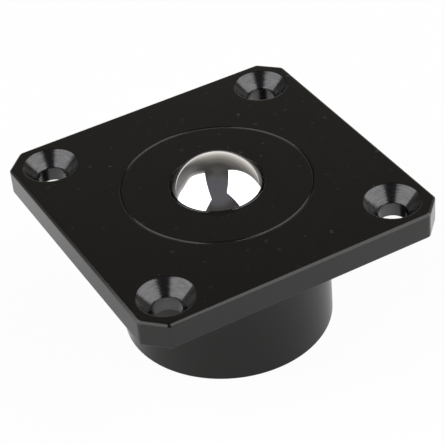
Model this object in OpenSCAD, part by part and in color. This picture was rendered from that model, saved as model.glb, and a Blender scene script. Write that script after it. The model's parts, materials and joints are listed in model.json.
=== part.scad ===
// Heavy-duty ball transfer unit with a square countersunk flange.
// Millimetres. The origin is the centre of the fixing holes in the flange's
// underside, and +Z points out through the load ball.

/* [Load ball] */
// Diameter of the load ball
ball_d = 31.75; // [28.5:0.25:33]
// Depth of the load ball's centre below the flange's top face
ball_sink = 7.4; // [6.5:0.1:8.5]

/* [Bearing balls] */
// Diameter of the small bearing balls
bearing_d = 5; // [4.5:0.1:5.3]
// Running gap between a ball and what it rolls on, and between balls in a ring
ball_play = 0.03; // [0.02:0.01:0.06]
// Room above the balls where they pass under the cap
roof_play = 0.1; // [0.06:0.01:0.2]
// Gap between the balls that cross the rim and those in the return channel
ring_gap = 0.3; // [0.1:0.1:1]
// Rings of balls waiting in the return channel
return_rings = 2; // [1:1:3]

/* [Flange] */
// Side of the square flange
flange_w = 100; // [98:1:120]
// Thickness of the flange
flange_t = 9; // [8.5:0.25:12]
// Length cut off each side at a corner
corner_cut = 6.5; // [3:0.5:9]
// Radius of the flange's upright edges
corner_round = 2; // [1.5:0.1:3]
// Bevel along the flange's top and bottom edges
edge_bevel = 0.7; // [0.3:0.1:1.2]

/* [Fixing holes] */
// Distance between neighbouring fixing holes
hole_pitch = 76.4; // [75:0.2:80]
// Diameter of the fixing holes, for M8 screws
hole_d = 9; // [6:0.5:10]
// Diameter of the countersinks at the top face
sink_d = 17.4; // [14:0.2:18]
// Included angle of the countersinks
sink_angle = 90; // [80:5:100]

/* [Body] */
// Diameter of the round body below the flange
body_d = 67; // [65:0.5:73]
// Depth of the body below the flange
body_h = 41.5; // [36:0.5:60]
// Thickness of the body's floor
floor_t = 8; // [5:0.5:12]
// Chamfer round the body's lower edge
base_chamfer = 0.3; // [0.2:0.1:2]
// Width and depth of the relief groove turned in the corner of the floor
relief = 1; // [0.4:0.1:1.5]

/* [Cap] */
// Diameter of the flush cap
cap_d = 58.8; // [57.6:0.2:61]
// Gap between the load ball and the lip that holds it in
lip_gap = 0.3; // [0.15:0.05:0.4]
// Thickness of the lip
lip_t = 0.7; // [0.5:0.1:1]
// Edge break on the lip
lip_break = 0.1; // [0.05:0.05:0.3]
// Edge break on each side of the joint between cap and flange
joint_break = 0.3; // [0.1:0.05:0.5]
// Radial gap of the pressed-in cap
cap_fit = 0.01; // [0.005:0.005:0.03]

/* [Wiper seal] */
// Depth of the seal's groove behind the lip
seal_depth = 2.45; // [1.5:0.05:3]
// Height of the seal's groove
seal_h = 1.5; // [1:0.1:2.5]
// Gap round the seal in its groove
seal_fit = 0.02; // [0.01:0.01:0.05]
// Gap between the seal and the load ball
wipe_gap = 0.05; // [0.03:0.01:0.1]

/* [Load table] */
// Width of the rim that the bearing balls roll over
rim_w = 2; // [1.6:0.1:2.4]
// Thickness of the shelf that closes the return channel
shelf_t = 5; // [3:0.5:7]
// Diameter of the table's waist
waist_d = 42; // [30:1:50]
// Thickness of the foot that stands on the floor
foot_t = 6; // [3:0.5:9]
// Radial gap between the table and the bore
table_fit = 0.02; // [0.01:0.01:0.05]
// Chamfer on the table's turned edges
table_chamfer = 0.5; // [0.2:0.1:1]

/* [Hidden] */
$fn = 96;
eps = 0.01;
// Steps in which an upright edge of the flange turns from a side to a cut corner
round_facets = 4;
// How far a cut runs past the face it opens
past = 1;

// Cup rings: one ball at the bottom, then rings at equal steps up to the equator
cup_steps = 5;
cup_step = 90 / cup_steps;

ball_r = ball_d / 2;
bearing_r = bearing_d / 2;
ball_z = flange_t - ball_sink;

// Ball centres run on this radius between the load ball and the cup
track_r = ball_r + bearing_r + ball_play;
cup_r = ball_r + bearing_d + 2 * ball_play;

// The rim is a round bead that touches the cup's sphere, and the roof
// is the torus one ball away from it
bead_r = rim_w / 2;
over_r = bead_r + bearing_r + ball_play;
roof_r = bead_r + bearing_d + 2 * ball_play;
roof_z = ball_z + bearing_r + roof_play;
bead_z = roof_z - roof_r;
bead_axis_r = sqrt(pow(cup_r + bead_r, 2) - pow(ball_z - bead_z, 2));
touch_z = ball_z - (ball_z - bead_z) * cup_r / (cup_r + bead_r);
bore_r = bead_axis_r + roof_r;

// Angle past the rim's crest at which the balls that cross it stand
rim_angle = 25;
rim_ball_r = bead_axis_r + over_r * sin(rim_angle);
rim_ball_z = bead_z + over_r * cos(rim_angle);

// Rings of balls in the return channel outside the rim, down to the shelf
return_r = bead_axis_r + over_r;
ring_pitch = bearing_d + ball_play;
return_top_z = rim_ball_z - sqrt(pow(bearing_d + ring_gap, 2) - pow(return_r - rim_ball_r, 2));
shelf_z = return_top_z - (return_rings - 1) * ring_pitch - bearing_r - ball_play;

equator_count = 2 * floor(ring_count(track_r) / 2);

floor_z = floor_t - body_h;
cap_r = cap_d / 2;
seat_z = bead_z;
groove_top = flange_t - lip_t;
groove_low = groove_top - seal_h;
lip_r = ball_r_at(groove_top) + lip_gap;
seal_r = lip_r + seal_depth;
sink_h = (sink_d - hole_d) / 2 / tan(sink_angle / 2);

BLACK_STEEL = [0.10, 0.10, 0.10];
HARD_STEEL = [0.62, 0.62, 0.60];
CHROME_STEEL = [0.85, 0.86, 0.88];
NITRILE = [0.05, 0.05, 0.05];

// Radius of the load ball at height z, and of its track at cup ring k
function ball_r_at(z) = sqrt(pow(ball_r, 2) - pow(z - ball_z, 2));
function cup_ring_r(k) = track_r * sin(k * cup_step);
function cup_ring_z(k) = ball_z - track_r * cos(k * cup_step);
function ring_count(r) = floor(180 / asin((bearing_r + ball_play / 2) / r));
function ring_angles(count, start = 0) = [for (i = [0:count - 1]) start + i * 360 / count];

module disc(r, low, high) {
    translate([0, 0, low]) cylinder(r = r, h = high - low);
}

module cone(r_low, r_high, low, high) {
    translate([0, 0, low]) cylinder(r1 = r_low, r2 = r_high, h = high - low);
}

module torus(axis_r, z, r) {
    rotate_extrude() translate([axis_r, z]) circle(r = r);
}

// Bearing balls at the given angles round a ring
module ball_ring(r, z, angles) {
    for (angle = angles)
        rotate([0, 0, angle]) translate([r, 0, z]) sphere(r = bearing_r);
}

// Long bar with the flange's thickness and its edges bevelled
module bevelled_bar(width, angle) {
    half = width / 2;
    top = half - edge_bevel;
    rotate([0, 0, angle]) rotate([90, 0, 0])
        linear_extrude(2 * flange_w, center = true)
            polygon([
                [-top, 0], [top, 0], [half, edge_bevel], [half, flange_t - edge_bevel],
                [top, flange_t], [-top, flange_t], [-half, flange_t - edge_bevel], [-half, edge_bevel],
            ]);
}

// Distance from the axis to the flange's outline, a square with cut corners
// and rounded upright edges, measured square to an edge at the given angle
function flange_reach(angle) =
    let (
        turn = min(angle % 90, 90 - angle % 90),
        x = flange_w / 2 - corner_round,
        y = flange_w / 2 - corner_cut - corner_round * tan(45 / 2)
    )
    x * cos(turn) + y * sin(turn) + corner_round;

// Plate where bars at equal turns cross: sides, cut corners and, between
// them, narrow facets that round the upright edges
module flange_plate() {
    step = 45 / round_facets;
    intersection_for (angle = [0:step:180 - step])
        bevelled_bar(2 * flange_reach(angle), angle);
}

module at_fixing_holes() {
    for (x = [-1, 1], y = [-1, 1])
        translate([x * hole_pitch / 2, y * hole_pitch / 2, 0]) children();
}

module countersunk_hole() {
    disc(hole_d / 2, -past, flange_t);
    cone(hole_d / 2, sink_d / 2, flange_t - sink_h, flange_t);
    disc(sink_d / 2, flange_t, flange_t + past);
}

module body() {
    disc(body_d / 2, base_chamfer - body_h, eps);
    cone(body_d / 2 - base_chamfer, body_d / 2, -body_h, base_chamfer - body_h);
}

// Space inside the housing: seat of the cap, bore, relief groove
module housing_cavity() {
    counterbore_r = cap_r + cap_fit;
    disc(counterbore_r, seat_z, flange_t + past);
    cone(counterbore_r, counterbore_r + joint_break, flange_t - joint_break, flange_t);
    disc(bore_r, floor_z, seat_z + eps);
    disc(bore_r + relief / 2, floor_z, floor_z + relief);
}

module housing() {
    color(BLACK_STEEL) difference() {
        union() {
            flange_plate();
            body();
        }
        housing_cavity();
        at_fixing_holes() countersunk_hole();
    }
}

// Bell whose skirt stands on the seat. The roof of the race is turned inside it
module cap() {
    color(BLACK_STEEL) difference() {
        union() {
            disc(cap_r, seat_z, flange_t - joint_break);
            cone(cap_r, cap_r - joint_break, flange_t - joint_break, flange_t);
        }
        torus(bead_axis_r, bead_z, roof_r);
        disc(bead_axis_r, seat_z - past, roof_z);
        translate([0, 0, ball_z]) sphere(r = ball_r + lip_gap);
        disc(seal_r, groove_low, groove_top);
        disc(lip_r, groove_top - eps, flange_t + past);
        cone(lip_r, lip_r + lip_break, flange_t - lip_break, flange_t);
    }
}

module wiper_seal() {
    low = groove_low + seal_fit;
    high = groove_top - seal_fit;
    low_r = ball_r_at(low) + wipe_gap;
    high_r = ball_r_at(high) + wipe_gap;
    color(NITRILE) difference() {
        disc(seal_r - seal_fit, low, high);
        disc(low_r, low - past, low);
        cone(low_r, high_r, low, high);
        disc(high_r, high, high + past);
    }
}

// Collar of the load table that fits the bore, chamfered along its lower edge
module table_collar(low, high) {
    r = bore_r - table_fit;
    cone(r - table_chamfer, r, low, low + table_chamfer);
    disc(r, low + table_chamfer, high);
}

// Turned bobbin with the ball cup in its head
module load_table() {
    shelf_low = shelf_z - shelf_t;
    foot_top = floor_z + foot_t;
    color(HARD_STEEL) difference() {
        union() {
            torus(bead_axis_r, bead_z, bead_r);
            disc(bead_axis_r, bead_z - eps, touch_z);
            disc(bead_axis_r + bead_r, shelf_z - eps, bead_z);
            table_collar(shelf_low, shelf_z);
            disc(waist_d / 2, foot_top - eps, shelf_low + eps);
            table_collar(floor_z, foot_top);
        }
        translate([0, 0, ball_z]) sphere(r = cup_r);
    }
}

module load_ball() {
    color(CHROME_STEEL) translate([0, 0, ball_z]) sphere(r = ball_r);
}

module bottom_ball() {
    color(CHROME_STEEL) translate([0, 0, cup_ring_z(0)]) sphere(r = bearing_r);
}

// Ring k of the cup, counted up from the bottom ball
module cup_balls(k) {
    r = cup_ring_r(k);
    color(CHROME_STEEL) ball_ring(r, cup_ring_z(k), ring_angles(ring_count(r)));
}

// Ring level with the load ball's centre: two balls on the X axis, and the rest
module equator_balls() {
    others = [for (angle = ring_angles(equator_count)) if (angle % 180 != 0) angle];
    color(CHROME_STEEL) ball_ring(track_r, ball_z, others);
}

module side_balls() {
    color(CHROME_STEEL) ball_ring(track_r, ball_z, [0, 180]);
}

// Balls on their way over the rim, each between two of the equator's
module rim_balls() {
    color(CHROME_STEEL)
        ball_ring(
            rim_ball_r,
            rim_ball_z,
            ring_angles(equator_count, 180 / equator_count)
        );
}

module return_balls() {
    color(CHROME_STEEL)
        for (ring = [0:return_rings - 1])
            ball_ring(
                return_r,
                return_top_z - ring * ring_pitch,
                ring_angles(ring_count(return_r))
            );
}

housing();
cap();
wiper_seal();
load_table();
load_ball();
bottom_ball();
cup_balls(1);  // cup_balls_1
cup_balls(2);  // cup_balls_2
cup_balls(3);  // cup_balls_3
cup_balls(4);  // cup_balls_4
equator_balls();
side_balls();
rim_balls();
return_balls();
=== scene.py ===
import json
import math
import bpy
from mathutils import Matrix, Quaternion, Vector


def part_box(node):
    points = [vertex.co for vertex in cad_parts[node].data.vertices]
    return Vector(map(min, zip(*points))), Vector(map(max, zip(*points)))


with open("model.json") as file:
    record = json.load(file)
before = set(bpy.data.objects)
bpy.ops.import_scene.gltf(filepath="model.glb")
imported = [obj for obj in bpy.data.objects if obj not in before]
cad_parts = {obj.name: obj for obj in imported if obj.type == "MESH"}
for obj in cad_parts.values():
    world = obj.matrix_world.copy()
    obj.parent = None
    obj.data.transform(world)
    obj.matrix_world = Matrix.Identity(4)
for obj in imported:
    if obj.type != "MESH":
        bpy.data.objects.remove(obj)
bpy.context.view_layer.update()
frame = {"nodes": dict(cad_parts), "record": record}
scene = bpy.context.scene
print("loaded", len(frame["nodes"]), "nodes")

mm = 0.001

# places and sizes that the materials and the studio need, read from the frame
housingLow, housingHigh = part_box("housing")
topZ = housingHigh.z
baseZ = housingLow.z
holeHalfPitch = frame["record"]["mounts"][0]["dims"]["spacing_x_mm"] / 2 * mm
ballLow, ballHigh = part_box("load_ball")
ballCentre = (ballLow + ballHigh) / 2


# short ways to build node trees

def plug(tree, socket, value):  # links another node's output, or sets a plain value
    if isinstance(value, bpy.types.NodeSocket):
        tree.links.new(value, socket)
    else:
        socket.default_value = value


def add(tree, kind, inputs=None, output=0, **settings):  # adds a node and returns one of its outputs
    node = tree.nodes.new(kind)
    for key, value in settings.items():
        setattr(node, key, value)
    for key, value in (inputs or {}).items():
        plug(tree, node.inputs[key], value)
    return node.outputs[output] if node.outputs else None


def calc(tree, operation, a, b=0.0, c=0.0):
    return add(tree, "ShaderNodeMath", {0: a, 1: b, 2: c}, operation=operation)


def join(tree, operation, a, b):  # vector from two vectors
    return add(tree, "ShaderNodeVectorMath", {0: a, 1: b}, operation=operation)


def stretch(tree, vector, scale):
    return add(tree, "ShaderNodeVectorMath", {0: vector, "Scale": scale}, operation="SCALE")


def measure(tree, operation, a, b=(0, 0, 0)):  # number from one or two vectors
    return add(tree, "ShaderNodeVectorMath", {0: a, 1: b}, output=1, operation=operation)


def flatDistance(tree, x, y):
    return measure(tree, "LENGTH", add(tree, "ShaderNodeCombineXYZ", {0: x, 1: y}))


def fade(tree, value, start, end):  # smooth 0 to 1 as value goes from start to end
    inputs = {"Value": value, "From Min": start, "From Max": end}
    return add(tree, "ShaderNodeMapRange", inputs, interpolation_type="SMOOTHSTEP")


def blend(tree, factor, a, b):  # number between a and b
    return add(tree, "ShaderNodeMix", {0: factor, 2: a, 3: b}, data_type="FLOAT")


def blendColor(tree, factor, a, b):
    return add(tree, "ShaderNodeMix", {0: factor, 6: a, 7: b}, output=2, data_type="RGBA")


def opaque(color):
    return (*color, 1.0)


def grey(level):
    return opaque((level, level, level))


def newGroup(name, inputs, outputs):
    group = bpy.data.node_groups.new(name, "ShaderNodeTree")
    for label, kind, value in inputs:
        socket = group.interface.new_socket(label, in_out="INPUT", socket_type=kind)
        if value is not None:
            socket.default_value = value
    for label, kind in outputs:
        group.interface.new_socket(label, in_out="OUTPUT", socket_type=kind)
    given = group.nodes.new("NodeGroupInput").outputs
    out = group.nodes.new("NodeGroupOutput").inputs
    return group, given, out


def useGroup(tree, group, inputs, output):
    node = tree.nodes.new("ShaderNodeGroup")
    node.node_tree = group
    for key, value in inputs.items():
        plug(tree, node.inputs[key], value)
    return node.outputs[output]


def newMaterial(name):
    material = bpy.data.materials.new(name)
    material.use_nodes = True
    tree = material.node_tree
    tree.nodes.clear()
    return material, tree


def makeBump(tree, height, **others):  # height is in metres
    return add(tree, "ShaderNodeBump", {"Strength": 1.0, "Distance": 1.0, "Height": height, **others})


def finishMaterial(tree, sockets):  # Principled BSDF with these inputs, and the output
    shader = add(tree, "ShaderNodeBsdfPrincipled", sockets)
    add(tree, "ShaderNodeOutputMaterial", {"Surface": shader})


cameraView = {
    "azimuth": -26.54,
    "elevation": 37.71,
    "roll": -5.24,
    "distance": 0.51284,
    "aim": (-0.00329, -0.00756, 0.0),
    "lens": 137.08,
}
# the studio is set up round these two level directions
viewAzimuth = math.radians(cameraView["azimuth"])
towardCamera = Vector((math.sin(viewAzimuth), -math.cos(viewAzimuth), 0))
cameraRight = Vector((math.cos(viewAzimuth), math.sin(viewAzimuth), 0))


def makeCamera(view):
    elevation = math.radians(view["elevation"])
    back = towardCamera * math.cos(elevation) + Vector((0, 0, math.sin(elevation)))
    camera = bpy.data.objects.new("camera", bpy.data.cameras.new("camera"))
    camera.data.lens = view["lens"]
    camera.location = Vector(view["aim"]) + back * view["distance"]
    camera.rotation_mode = "QUATERNION"
    level = (-back).to_track_quat("-Z", "Y")
    camera.rotation_quaternion = level @ Quaternion((0, 0, 1), math.radians(view["roll"]))
    scene.collection.objects.link(camera)
    scene.camera = camera


makeCamera(cameraView)
print("camera ready")

# two softboxes that lean in over the object: side is +1 on the camera's right; the lower edge
# stands at reach from the object and runs from back to front, and the box leans in until its
# upper edge is at topReach, topHeight; from back to edge it only glows, and over the strip
# edgeFade it comes up to full; the edge moves by lean between the two leanFrom heights
softboxes = {
    "rightSoftbox": {
        "side": 1, "back": -0.50, "edge": -0.42, "front": 0.72, "edgeFade": (-0.05, 0.02),
        "lean": 0.0, "leanFrom": (0.3, 0.6), "reach": 0.90, "topReach": 0.45, "topHeight": 1.08,
        "aboveFloor": 5 * mm, "level": 2.4, "glow": 0.22,
    },
    "leftSoftbox": {
        "side": -1, "back": -0.66, "edge": -0.22, "front": 1.22, "edgeFade": (-0.05, 0.02),
        "lean": -0.17, "leanFrom": (0.28, 0.62), "reach": 0.90, "topReach": 0.45, "topHeight": 1.20,
        "aboveFloor": 5 * mm, "level": 2.3, "glow": 0.12,
    },
}


def makeSoftbox(name, box):
    outward = cameraRight * box["side"]
    slope = Vector((0, 0, box["topHeight"])) - outward * (box["reach"] - box["topReach"])
    foot = outward * box["reach"] + towardCamera * (box["front"] + box["back"]) / 2
    data = bpy.data.lights.new(name, "AREA")
    data.shape = "RECTANGLE"
    data.size = box["front"] - box["back"]
    data.size_y = slope.length
    data.energy = box["level"] * math.pi * (box["front"] - box["back"]) * slope.length
    lamp = bpy.data.objects.new(name, data)
    lamp.location = foot + slope / 2 + Vector((0, 0, baseZ + box["aboveFloor"]))
    inward = slope.cross(towardCamera).normalized()
    if inward.dot(foot) > 0:
        inward = -inward
    lamp.rotation_mode = "QUATERNION"
    lamp.rotation_quaternion = inward.to_track_quat("-Z", "Y")
    lamp.visible_camera = False
    scene.collection.objects.link(lamp)
    data.use_nodes = True
    tree = data.node_tree
    tree.nodes.clear()
    place = add(tree, "ShaderNodeNewGeometry", output="Position")
    along = measure(tree, "DOT_PRODUCT", place, towardCamera)
    height = add(tree, "ShaderNodeSeparateXYZ", {0: place}, output=2)
    lean = calc(tree, "MULTIPLY", fade(tree, height, *box["leanFrom"]), box["lean"])
    along = calc(tree, "SUBTRACT", along, lean)
    dim = fade(tree, along, box["back"] - box["lean"], box["edge"])
    fullStart, fullEnd = box["edgeFade"]
    full = fade(tree, along, box["edge"] + fullStart, box["edge"] + fullEnd)
    strength = blend(tree, full, calc(tree, "MULTIPLY", dim, box["glow"]), 1.0)
    glow = add(tree, "ShaderNodeEmission", {"Strength": strength})
    add(tree, "ShaderNodeOutputLight", {"Surface": glow})


for boxName, box in softboxes.items():
    makeSoftbox(boxName, box)

# a pale sweep behind the object and a dark room; the camera itself sees plain white
surroundings = {
    # brightness of the sweep behind the object, by the sine of the height angle
    "sweep": (
        (0.0, 0.80), (0.11, 0.68), (0.21, 0.48), (0.41, 0.28), (0.59, 0.15), (0.80, 0.065), (1.0, 0.085),
    ),
    "sweepTint": (1.06, 1.0, 0.91),
    "sweepLeft": (-33, -3),  # degrees from straight behind, plus is the camera's right
    "sweepRight": (78, 17),
    "room": 0.055,
    "roomTint": (1.04, 0.99, 0.95),
    "ceiling": 0.11,
    "ceilingFrom": (0.78, 1.02),
    "ceilingSlant": -0.5,  # minus puts it lower on the camera's side
    "ceilingTint": (0.98, 0.97, 1.05),
    "leftWall": 0.15,
    "leftWallFrom": (-15, -60),  # degrees, as for the sweep
    "leftWallDepth": (-0.3, 0.1),  # minus is the camera's side
    "leftWallHeight": (0.85, 0.45),
}


def makeSurroundings(look):
    world = bpy.data.worlds.new("studio")
    scene.world = world
    world.use_nodes = True
    tree = world.node_tree
    tree.nodes.clear()
    direction = add(tree, "ShaderNodeTexCoord", output=0)
    height = add(tree, "ShaderNodeSeparateXYZ", {0: direction}, output=2)
    right = measure(tree, "DOT_PRODUCT", direction, cameraRight)
    behind = measure(tree, "DOT_PRODUCT", direction, -towardCamera)
    turn = calc(tree, "MULTIPLY", calc(tree, "ARCTAN2", right, behind), 180 / math.pi)
    # the sweep, brightest at the floor
    sweep = add(tree, "ShaderNodeValToRGB", {0: height})
    ramp = sweep.node.color_ramp
    ramp.interpolation = "EASE"
    ramp.elements[0].color = grey(look["sweep"][0][1])
    ramp.elements[1].color = grey(look["sweep"][-1][1])
    for stop, level in look["sweep"][1:-1]:
        ramp.elements.new(stop).color = grey(level)
    tinted = join(tree, "MULTIPLY", sweep, look["sweepTint"])
    # the dark room, with a paler ceiling and a paler wall on the left
    slanted = calc(tree, "MULTIPLY_ADD", behind, look["ceilingSlant"], height)
    overhead = fade(tree, slanted, *look["ceilingFrom"])
    room = blend(tree, overhead, look["room"], look["ceiling"])
    onLeft = fade(tree, turn, *look["leftWallFrom"])
    wall = calc(tree, "MULTIPLY", onLeft, fade(tree, behind, *look["leftWallDepth"]))
    wall = calc(tree, "MULTIPLY", wall, fade(tree, height, *look["leftWallHeight"]))
    room = calc(tree, "MULTIPLY_ADD", wall, look["leftWall"], room)
    tint = blendColor(tree, overhead, opaque(look["roomTint"]), opaque(look["ceilingTint"]))
    roomColor = stretch(tree, tint, room)
    rightSide = fade(tree, turn, *look["sweepRight"])
    share = calc(tree, "MULTIPLY", rightSide, fade(tree, turn, *look["sweepLeft"]))
    around = blendColor(tree, share, roomColor, tinted)
    seen = add(tree, "ShaderNodeLightPath", output="Is Camera Ray")
    final = blendColor(tree, seen, around, grey(1.0))
    shade = add(tree, "ShaderNodeBackground", {"Color": final})
    add(tree, "ShaderNodeOutputWorld", {"Surface": shade})


makeSurroundings(surroundings)

floorLook = {
    "size": 6.0,
    "paint": 0.9,
    "belowBase": 0.02 * mm,
    "seenShare": 0.95,  # this much is plain white to the camera, and the paint takes the shadow
    "mirroredShare": 0.75,  # the same in what the steel mirrors
    # how white that is, a painted shadow of the part: least by the part, full away from it and close behind
    # it
    "paintedShadowDarkest": 0.5,
    "shadeFrom": (0.030, 0.130),
    "shadeToFront": 0.02,
    "shadeToLeft": 0.017,
    "behindFrom": (-0.016, 0.010),
    "behindSkew": 0.35,
    "behindReach": (0.075, 0.055),
    "underBase": (0.033, 0.030),  # full here too, for the base
}


def makeFloor(look):
    half = look["size"] / 2
    corners = [(-half, -half, 0), (half, -half, 0), (half, half, 0), (-half, half, 0)]
    mesh = bpy.data.meshes.new("floor")
    mesh.from_pydata(corners, [], [(0, 1, 2, 3)])
    floor = bpy.data.objects.new("floor", mesh)
    floor.location.z = baseZ - look["belowBase"]
    scene.collection.objects.link(floor)
    material, tree = newMaterial("floorWhite")
    paint = add(tree, "ShaderNodeBsdfDiffuse", {"Color": grey(look["paint"])})
    whiteGlowWithPaintedShadow = add(tree, "ShaderNodeEmission", {"Color": grey(1.0)})
    path = add(tree, "ShaderNodeLightPath").node.outputs
    seen = calc(tree, "MULTIPLY", path["Is Camera Ray"], look["seenShare"])
    mirrored = calc(tree, "MAXIMUM", path["Is Glossy Ray"], path["Is Transmission Ray"])
    place = add(tree, "ShaderNodeTexCoord", output="Object")
    # painted shadow: the floor's white that the steel mirrors is dimmed by place round the part, darkest by
    # it
    shadeCentre = towardCamera * look["shadeToFront"] - cameraRight * look["shadeToLeft"]
    away = measure(tree, "DISTANCE", place, shadeCentre)
    backward = -towardCamera - cameraRight * look["behindSkew"]
    behind = measure(tree, "DOT_PRODUCT", place, backward)
    fromAxis = measure(tree, "LENGTH", place)
    outsidePaintedShadow = fade(tree, away, *look["shadeFrom"])
    pastPart = fade(tree, behind, *look["behindFrom"])
    closeBehind = calc(tree, "MULTIPLY", pastPart, fade(tree, fromAxis, *look["behindReach"]))
    covered = fade(tree, fromAxis, *look["underBase"])
    outsidePaintedShadow = calc(tree, "MAXIMUM", outsidePaintedShadow, calc(tree, "MAXIMUM", closeBehind, covered))
    level = blend(tree, outsidePaintedShadow, look["paintedShadowDarkest"], 1.0)
    # the painted shadow sets the white's strength in what the steel mirrors; the camera sees it at full
    # strength
    plug(tree, whiteGlowWithPaintedShadow.node.inputs["Strength"], blend(tree, mirrored, 1.0, level))
    share = calc(tree, "MULTIPLY_ADD", mirrored, look["mirroredShare"], seen)
    lit = add(tree, "ShaderNodeMixShader", {0: share, 1: paint, 2: whiteGlowWithPaintedShadow})
    # nothing is seen of it from underneath
    under = add(tree, "ShaderNodeNewGeometry", output="Backfacing")
    clear = add(tree, "ShaderNodeBsdfTransparent")
    surface = add(tree, "ShaderNodeMixShader", {0: under, 1: lit, 2: clear})
    add(tree, "ShaderNodeOutputMaterial", {"Surface": surface})
    mesh.materials.append(material)


makeFloor(floorLook)
print("studio ready")


# effects that the materials place as node groups

fleckShape = {
    "outlineWaves": 1.4,  # in one fleck's size
    "outlineWander": 2.2,  # in flecks' sizes
    "smallest": 0.3,  # share of the full size
    "faintest": 0.2,
    "faintness": 6.0,  # a higher power leaves fewer strong flecks
}


def makeFlecks(shape):
    # specks of dust, or scratches when they are stretched: flat, over X and Y
    group, given, out = newGroup("flecks", [
        ("Vector", "NodeSocketVector", None),
        ("Spacing", "NodeSocketFloat", 5 * mm),
        ("Size", "NodeSocketFloat", 0.2 * mm),
        ("Stretch", "NodeSocketFloat", 1.0),
        ("Turn", "NodeSocketFloat", 0.0),
        ("Share", "NodeSocketFloat", 0.5),
    ], [("Mask", "NodeSocketFloat")])
    # the outline of each fleck wanders by noise
    fine = calc(group, "DIVIDE", shape["outlineWaves"], given["Size"])
    noise = {"Vector": given["Vector"], "Scale": fine, "Detail": 1.0}
    wander = add(group, "ShaderNodeTexNoise", noise, output=1)
    wander = join(group, "SUBTRACT", wander, (0.5, 0.5, 0.5))
    wander = stretch(group, wander, calc(group, "MULTIPLY", given["Size"], shape["outlineWander"]))
    moved = join(group, "ADD", given["Vector"], wander)
    turning = {"Vector": moved, "Angle": given["Turn"]}
    turned = add(group, "ShaderNodeVectorRotate", turning, rotation_type="Z_AXIS")
    squeeze = calc(group, "DIVIDE", 1.0, given["Stretch"])
    scale = add(group, "ShaderNodeCombineXYZ", {0: squeeze, 1: 1.0, 2: 1.0})
    flat = join(group, "MULTIPLY", turned, scale)
    density = calc(group, "DIVIDE", 1.0, given["Spacing"])
    spread = {"Vector": flat, "Scale": density}
    cells = add(group, "ShaderNodeTexVoronoi", spread, voronoi_dimensions="2D").node
    chance = add(group, "ShaderNodeSeparateColor", {0: cells.outputs["Color"]}).node.outputs
    size = calc(group, "DIVIDE", given["Size"], given["Spacing"])
    sizeShare = calc(group, "MULTIPLY_ADD", chance[0], 1 - shape["smallest"], shape["smallest"])
    ownSize = calc(group, "MULTIPLY", size, sizeShare)
    spot = fade(group, calc(group, "DIVIDE", cells.outputs["Distance"], ownSize), 1.0, 0.0)
    picked = calc(group, "LESS_THAN", chance[1], given["Share"])
    strong = calc(group, "POWER", chance[2], shape["faintness"])
    strength = calc(group, "MULTIPLY_ADD", strong, 1 - shape["faintest"], shape["faintest"])
    mask = calc(group, "MULTIPLY", calc(group, "MULTIPLY", spot, picked), strength)
    plug(group, out["Mask"], mask)
    return group


def makeTurnedRings():
    # fine ridges left by a turning tool: Along crosses them, Around is the angle
    group, given, out = newGroup("turnedRings", [
        ("Along", "NodeSocketFloat", 0.0),
        ("Around", "NodeSocketFloat", 0.0),
        ("Pitch", "NodeSocketFloat", 0.2 * mm),
        ("Breaks", "NodeSocketFloat", 0.35),
    ], [("Height", "NodeSocketFloat")])
    place = add(group, "ShaderNodeCombineXYZ", {
        0: calc(group, "DIVIDE", given["Along"], given["Pitch"]),
        1: calc(group, "MULTIPLY", given["Around"], given["Breaks"]),
        2: 0.0,
    })
    ridges = {"Vector": place, "Scale": 1.0, "Detail": 2.0, "Roughness": 0.6}
    noise = add(group, "ShaderNodeTexNoise", ridges, noise_dimensions="2D")
    plug(group, out["Height"], noise)
    return group


def makeGrain():
    # grain of a rubbed or ground face, longer where Stretch is small
    group, given, out = newGroup("grain", [
        ("Vector", "NodeSocketVector", None),
        ("Stretch", "NodeSocketVector", (1, 1, 1)),
        ("Size", "NodeSocketFloat", 0.3 * mm),
    ], [("Height", "NodeSocketFloat")])
    stretched = join(group, "MULTIPLY", given["Vector"], given["Stretch"])
    scale = calc(group, "DIVIDE", 1.0, given["Size"])
    noise = add(group, "ShaderNodeTexNoise", {
        "Vector": stretched, "Scale": scale, "Detail": 3.0, "Roughness": 0.65,
    })
    plug(group, out["Height"], noise)
    return group


smudgeFade = (0.45, 0.75)  # of the noise's height


def makeSmudges():
    # soft patches where a face was handled
    group, given, out = newGroup("smudges", [
        ("Vector", "NodeSocketVector", None),
        ("Size", "NodeSocketFloat", 12 * mm),
    ], [("Mask", "NodeSocketFloat")])
    scale = calc(group, "DIVIDE", 1.0, given["Size"])
    noise = add(group, "ShaderNodeTexNoise", {
        "Vector": given["Vector"], "Scale": scale, "Detail": 4.0, "Roughness": 0.6, "Distortion": 0.8,
    })
    plug(group, out["Mask"], fade(group, noise, *smudgeFade))
    return group


flecks = makeFlecks(fleckShape)
turnedRings = makeTurnedRings()
grain = makeGrain()
smudges = makeSmudges()
print("shared effects ready")


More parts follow.
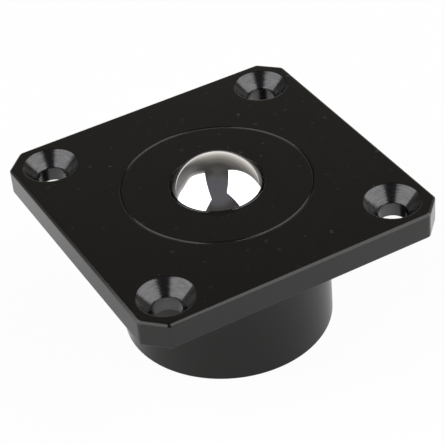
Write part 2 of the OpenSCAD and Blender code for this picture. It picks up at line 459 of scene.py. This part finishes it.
# black steel of the housing and the cap
blackSteel = {
    "color": (0.0050, 0.0043, 0.0036),
    "ior": 1.5,
    "topRoughness": 0.15,
    "sideRoughness": 0.13,
    "bodyRoughness": 0.09,
    "handledSize": 14 * mm,
    "handledRoughness": 0.05,  # added where it was handled
    "dust": {"Spacing": 8.5 * mm, "Size": 1.0 * mm, "Share": 0.6},
    "fineDust": {"Spacing": 4.25 * mm, "Size": 0.45 * mm, "Share": 0.3},
    "dustColor": (0.050, 0.048, 0.043),
    "dustRoughness": 0.8,
    "longScratch": {"Spacing": 19 * mm, "Size": 0.12 * mm, "Stretch": 34.0, "Turn": 0.9, "Share": 0.5},
    "shortScratch": {"Spacing": 7 * mm, "Size": 0.16 * mm, "Stretch": 12.0, "Turn": -0.55, "Share": 0.5},
    "scratchDepth": 0.004 * mm,
    "edgeRound": 0.7 * mm,
    "edgeSamples": 8,
    "grainSize": 0.5 * mm,
    "grainStretch": (1, 1, 0.25),
    "grainHeight": 0.0016 * mm,
    "bodyRingPitch": 0.25 * mm,
    "bodyRingHeight": 0.0012 * mm,
    "topRingPitch": 0.3 * mm,
    "topRingHeight": 0.0003 * mm,
    # cut steel in the fixing holes, with coarser ridges; the grooves between them are painted darker, as
    # painted shade
    "holeRadius": 8.8 * mm,
    "holeColor": (0.088, 0.087, 0.088),
    "holeGrooveShadeColor": (0.066, 0.065, 0.068),
    "holeGrooveFade": (0.38, 0.62),
    "holeRoughness": 0.19,
    "holeRingPitch": 0.26 * mm,
    "holeRingHeight": 0.050 * mm,
    "holeRingBreaks": 1.6,
    "boreColor": (0.096, 0.095, 0.096),
    "boreTop": 4.8 * mm,
    "regionMargin": 0.02 * mm,
}


def makeBlackSteel(look):
    material, tree = newMaterial("blackSteel")
    place = add(tree, "ShaderNodeTexCoord", output="Object")
    x, y, z = add(tree, "ShaderNodeSeparateXYZ", {0: place}).node.outputs
    fromAxis = flatDistance(tree, x, y)
    around = calc(tree, "ARCTAN2", y, x)
    # distance from the nearest fixing hole, and the angle round it
    holeX = calc(tree, "SUBTRACT", calc(tree, "ABSOLUTE", x), holeHalfPitch)
    holeY = calc(tree, "SUBTRACT", calc(tree, "ABSOLUTE", y), holeHalfPitch)
    fromHole = flatDistance(tree, holeX, holeY)
    aroundHole = calc(tree, "ARCTAN2", holeY, holeX)
    # regions: top face, body below the flange, the flange between them, and its fixing holes
    onTop = calc(tree, "GREATER_THAN", z, topZ - look["regionMargin"])
    onBody = calc(tree, "LESS_THAN", z, -look["regionMargin"])
    between = calc(tree, "SUBTRACT", calc(tree, "SUBTRACT", 1.0, onTop), onBody)
    nearHole = calc(tree, "LESS_THAN", fromHole, look["holeRadius"])
    aboveSeat = calc(tree, "GREATER_THAN", z, look["regionMargin"])
    inHole = calc(tree, "MULTIPLY", nearHole, calc(tree, "MULTIPLY", between, aboveSeat))

    dust = useGroup(tree, flecks, {"Vector": place, **look["dust"]}, "Mask")
    fineDust = useGroup(tree, flecks, {"Vector": place, **look["fineDust"]}, "Mask")
    longScratch = useGroup(tree, flecks, {"Vector": place, **look["longScratch"]}, "Mask")
    shortScratch = useGroup(tree, flecks, {"Vector": place, **look["shortScratch"]}, "Mask")
    handled = useGroup(tree, smudges, {"Vector": place, "Size": look["handledSize"]}, "Mask")

    allDust = calc(tree, "MULTIPLY", calc(tree, "MAXIMUM", dust, fineDust), onTop)
    scratches = calc(tree, "MULTIPLY", calc(tree, "MAXIMUM", longScratch, shortScratch), onTop)
    pale = calc(tree, "MAXIMUM", allDust, scratches)
    black = blendColor(tree, pale, opaque(look["color"]), opaque(look["dustColor"]))
    holeRings = useGroup(tree, turnedRings, {
        "Along": z, "Around": aroundHole, "Pitch": look["holeRingPitch"], "Breaks": look["holeRingBreaks"],
    }, "Height")
    # painted shade: the grooves between the ridges get a darker colour than the ridges
    ridge = fade(tree, holeRings, *look["holeGrooveFade"])
    bright = blendColor(tree, ridge, opaque(look["holeGrooveShadeColor"]), opaque(look["holeColor"]))
    inBore = calc(tree, "LESS_THAN", z, look["boreTop"])
    bright = blendColor(tree, inBore, bright, opaque(look["boreColor"]))
    color = blendColor(tree, inHole, black, bright)

    plain = blend(tree, onBody, look["sideRoughness"], look["bodyRoughness"])
    plain = blend(tree, onTop, plain, look["topRoughness"])
    plain = calc(tree, "MULTIPLY_ADD", handled, look["handledRoughness"], plain)
    plain = blend(tree, allDust, plain, look["dustRoughness"])
    roughness = blend(tree, inHole, plain, look["holeRoughness"])

    bodyRings = useGroup(tree, turnedRings, {
        "Along": z, "Around": around, "Pitch": look["bodyRingPitch"],
    }, "Height")
    sideGrain = useGroup(tree, grain, {
        "Vector": place, "Stretch": look["grainStretch"], "Size": look["grainSize"],
    }, "Height")
    topRings = useGroup(tree, turnedRings, {
        "Along": fromAxis, "Around": around, "Pitch": look["topRingPitch"],
    }, "Height")
    height = calc(tree, "MULTIPLY", calc(tree, "MULTIPLY", holeRings, inHole), look["holeRingHeight"])
    for texture, region, depth in (
        (bodyRings, onBody, look["bodyRingHeight"]),
        (sideGrain, between, look["grainHeight"]),
        (topRings, onTop, look["topRingHeight"]),
    ):
        height = calc(tree, "MULTIPLY_ADD", calc(tree, "MULTIPLY", texture, region), depth, height)
    height = calc(tree, "MULTIPLY_ADD", scratches, -look["scratchDepth"], height)
    # edges are a little rounded from tumbling
    rounded = add(tree, "ShaderNodeBevel", {"Radius": look["edgeRound"]}, samples=look["edgeSamples"])
    bump = makeBump(tree, height, Normal=rounded)
    finishMaterial(tree, {
        "Base Color": color, "Metallic": inHole, "Roughness": roughness, "IOR": look["ior"], "Normal": bump,
    })
    return material


# lapped chrome steel of the load ball
chrome = {
    "color": (0.88, 0.88, 0.89),
    "handledColor": (0.84, 0.84, 0.85),
    "handledSize": 6 * mm,
    "roughness": 0.022,
    "handledRoughness": 0.05,  # added where it was handled
    "lappingSize": 0.25 * mm,
    "lappingHeight": 0.00002 * mm,
}


def makeChrome(look):
    material, tree = newMaterial("loadBallChrome")
    place = add(tree, "ShaderNodeTexCoord", output="Object")
    centred = join(tree, "SUBTRACT", place, ballCentre)
    handled = useGroup(tree, smudges, {"Vector": centred, "Size": look["handledSize"]}, "Mask")
    lapping = useGroup(tree, grain, {"Vector": centred, "Size": look["lappingSize"]}, "Height")
    roughness = calc(tree, "MULTIPLY_ADD", handled, look["handledRoughness"], look["roughness"])
    bump = makeBump(tree, calc(tree, "MULTIPLY", lapping, look["lappingHeight"]))
    tint = blendColor(tree, handled, opaque(look["color"]), opaque(look["handledColor"]))
    finishMaterial(tree, {"Base Color": tint, "Metallic": 1.0, "Roughness": roughness, "Normal": bump})
    return material


# oiled steel of the bearing balls
bearing = {
    "color": (0.78, 0.78, 0.79),
    "oilColor": (0.66, 0.64, 0.60),
    "oilSize": 2.5 * mm,
    "roughness": 0.07,
    "oilRoughness": 0.08,  # added where there is oil
    "lappingSize": 0.15 * mm,
    "lappingHeight": 0.00005 * mm,
}


def makeBearingSteel(look):
    material, tree = newMaterial("bearingSteel")
    place = add(tree, "ShaderNodeTexCoord", output="Object")
    oil = useGroup(tree, smudges, {"Vector": place, "Size": look["oilSize"]}, "Mask")
    lapping = useGroup(tree, grain, {"Vector": place, "Size": look["lappingSize"]}, "Height")
    roughness = calc(tree, "MULTIPLY_ADD", oil, look["oilRoughness"], look["roughness"])
    color = blendColor(tree, oil, opaque(look["color"]), opaque(look["oilColor"]))
    bump = makeBump(tree, calc(tree, "MULTIPLY", lapping, look["lappingHeight"]))
    finishMaterial(tree, {"Base Color": color, "Metallic": 1.0, "Roughness": roughness, "Normal": bump})
    return material


# turned and hardened steel of the load table
table = {
    "color": (0.47, 0.46, 0.44),
    "temperedColor": (0.36, 0.33, 0.30),
    "temperedSize": 9 * mm,
    "roughness": 0.28,
    "ringRoughness": 0.12,  # added on the ridges
    "ringPitch": 0.22 * mm,
    "ringHeight": 0.004 * mm,
}


def makeTableSteel(look):
    material, tree = newMaterial("tableSteel")
    place = add(tree, "ShaderNodeTexCoord", output="Object")
    x, y, z = add(tree, "ShaderNodeSeparateXYZ", {0: place}).node.outputs
    along = calc(tree, "ADD", flatDistance(tree, x, y), z)
    rings = useGroup(tree, turnedRings, {
        "Along": along, "Around": calc(tree, "ARCTAN2", y, x), "Pitch": look["ringPitch"],
    }, "Height")
    tempered = useGroup(tree, smudges, {"Vector": place, "Size": look["temperedSize"]}, "Mask")
    color = blendColor(tree, tempered, opaque(look["color"]), opaque(look["temperedColor"]))
    roughness = calc(tree, "MULTIPLY_ADD", rings, look["ringRoughness"], look["roughness"])
    bump = makeBump(tree, calc(tree, "MULTIPLY", rings, look["ringHeight"]))
    finishMaterial(tree, {"Base Color": color, "Metallic": 1.0, "Roughness": roughness, "Normal": bump})
    return material


# matt nitrile of the wiper seal
nitrile = {
    "color": (0.045, 0.045, 0.047),
    "bloomColor": (0.075, 0.075, 0.073),
    "bloomSize": 3 * mm,
    "roughness": 0.5,
    "skinRoughness": 0.2,  # added on the skin's high points
    "skinSize": 0.12 * mm,
    "skinHeight": 0.01 * mm,
}


def makeNitrile(look):
    material, tree = newMaterial("nitrile")
    place = add(tree, "ShaderNodeTexCoord", output="Object")
    bloom = useGroup(tree, smudges, {"Vector": place, "Size": look["bloomSize"]}, "Mask")
    skin = useGroup(tree, grain, {"Vector": place, "Size": look["skinSize"]}, "Height")
    color = blendColor(tree, bloom, opaque(look["color"]), opaque(look["bloomColor"]))
    roughness = calc(tree, "MULTIPLY_ADD", skin, look["skinRoughness"], look["roughness"])
    bump = makeBump(tree, calc(tree, "MULTIPLY", skin, look["skinHeight"]))
    finishMaterial(tree, {"Base Color": color, "Roughness": roughness, "Normal": bump})
    return material


blackMaterial = makeBlackSteel(blackSteel)
bearingMaterial = makeBearingSteel(bearing)
finishes = {
    "housing": blackMaterial,
    "cap": blackMaterial,
    "load_ball": makeChrome(chrome),
    "load_table": makeTableSteel(table),
    "wiper_seal": makeNitrile(nitrile),
}
for name, node in frame["nodes"].items():
    node.data.materials[0] = finishes.get(name, bearingMaterial)
print("finishes ready")

scene.view_settings.view_transform = "Standard"
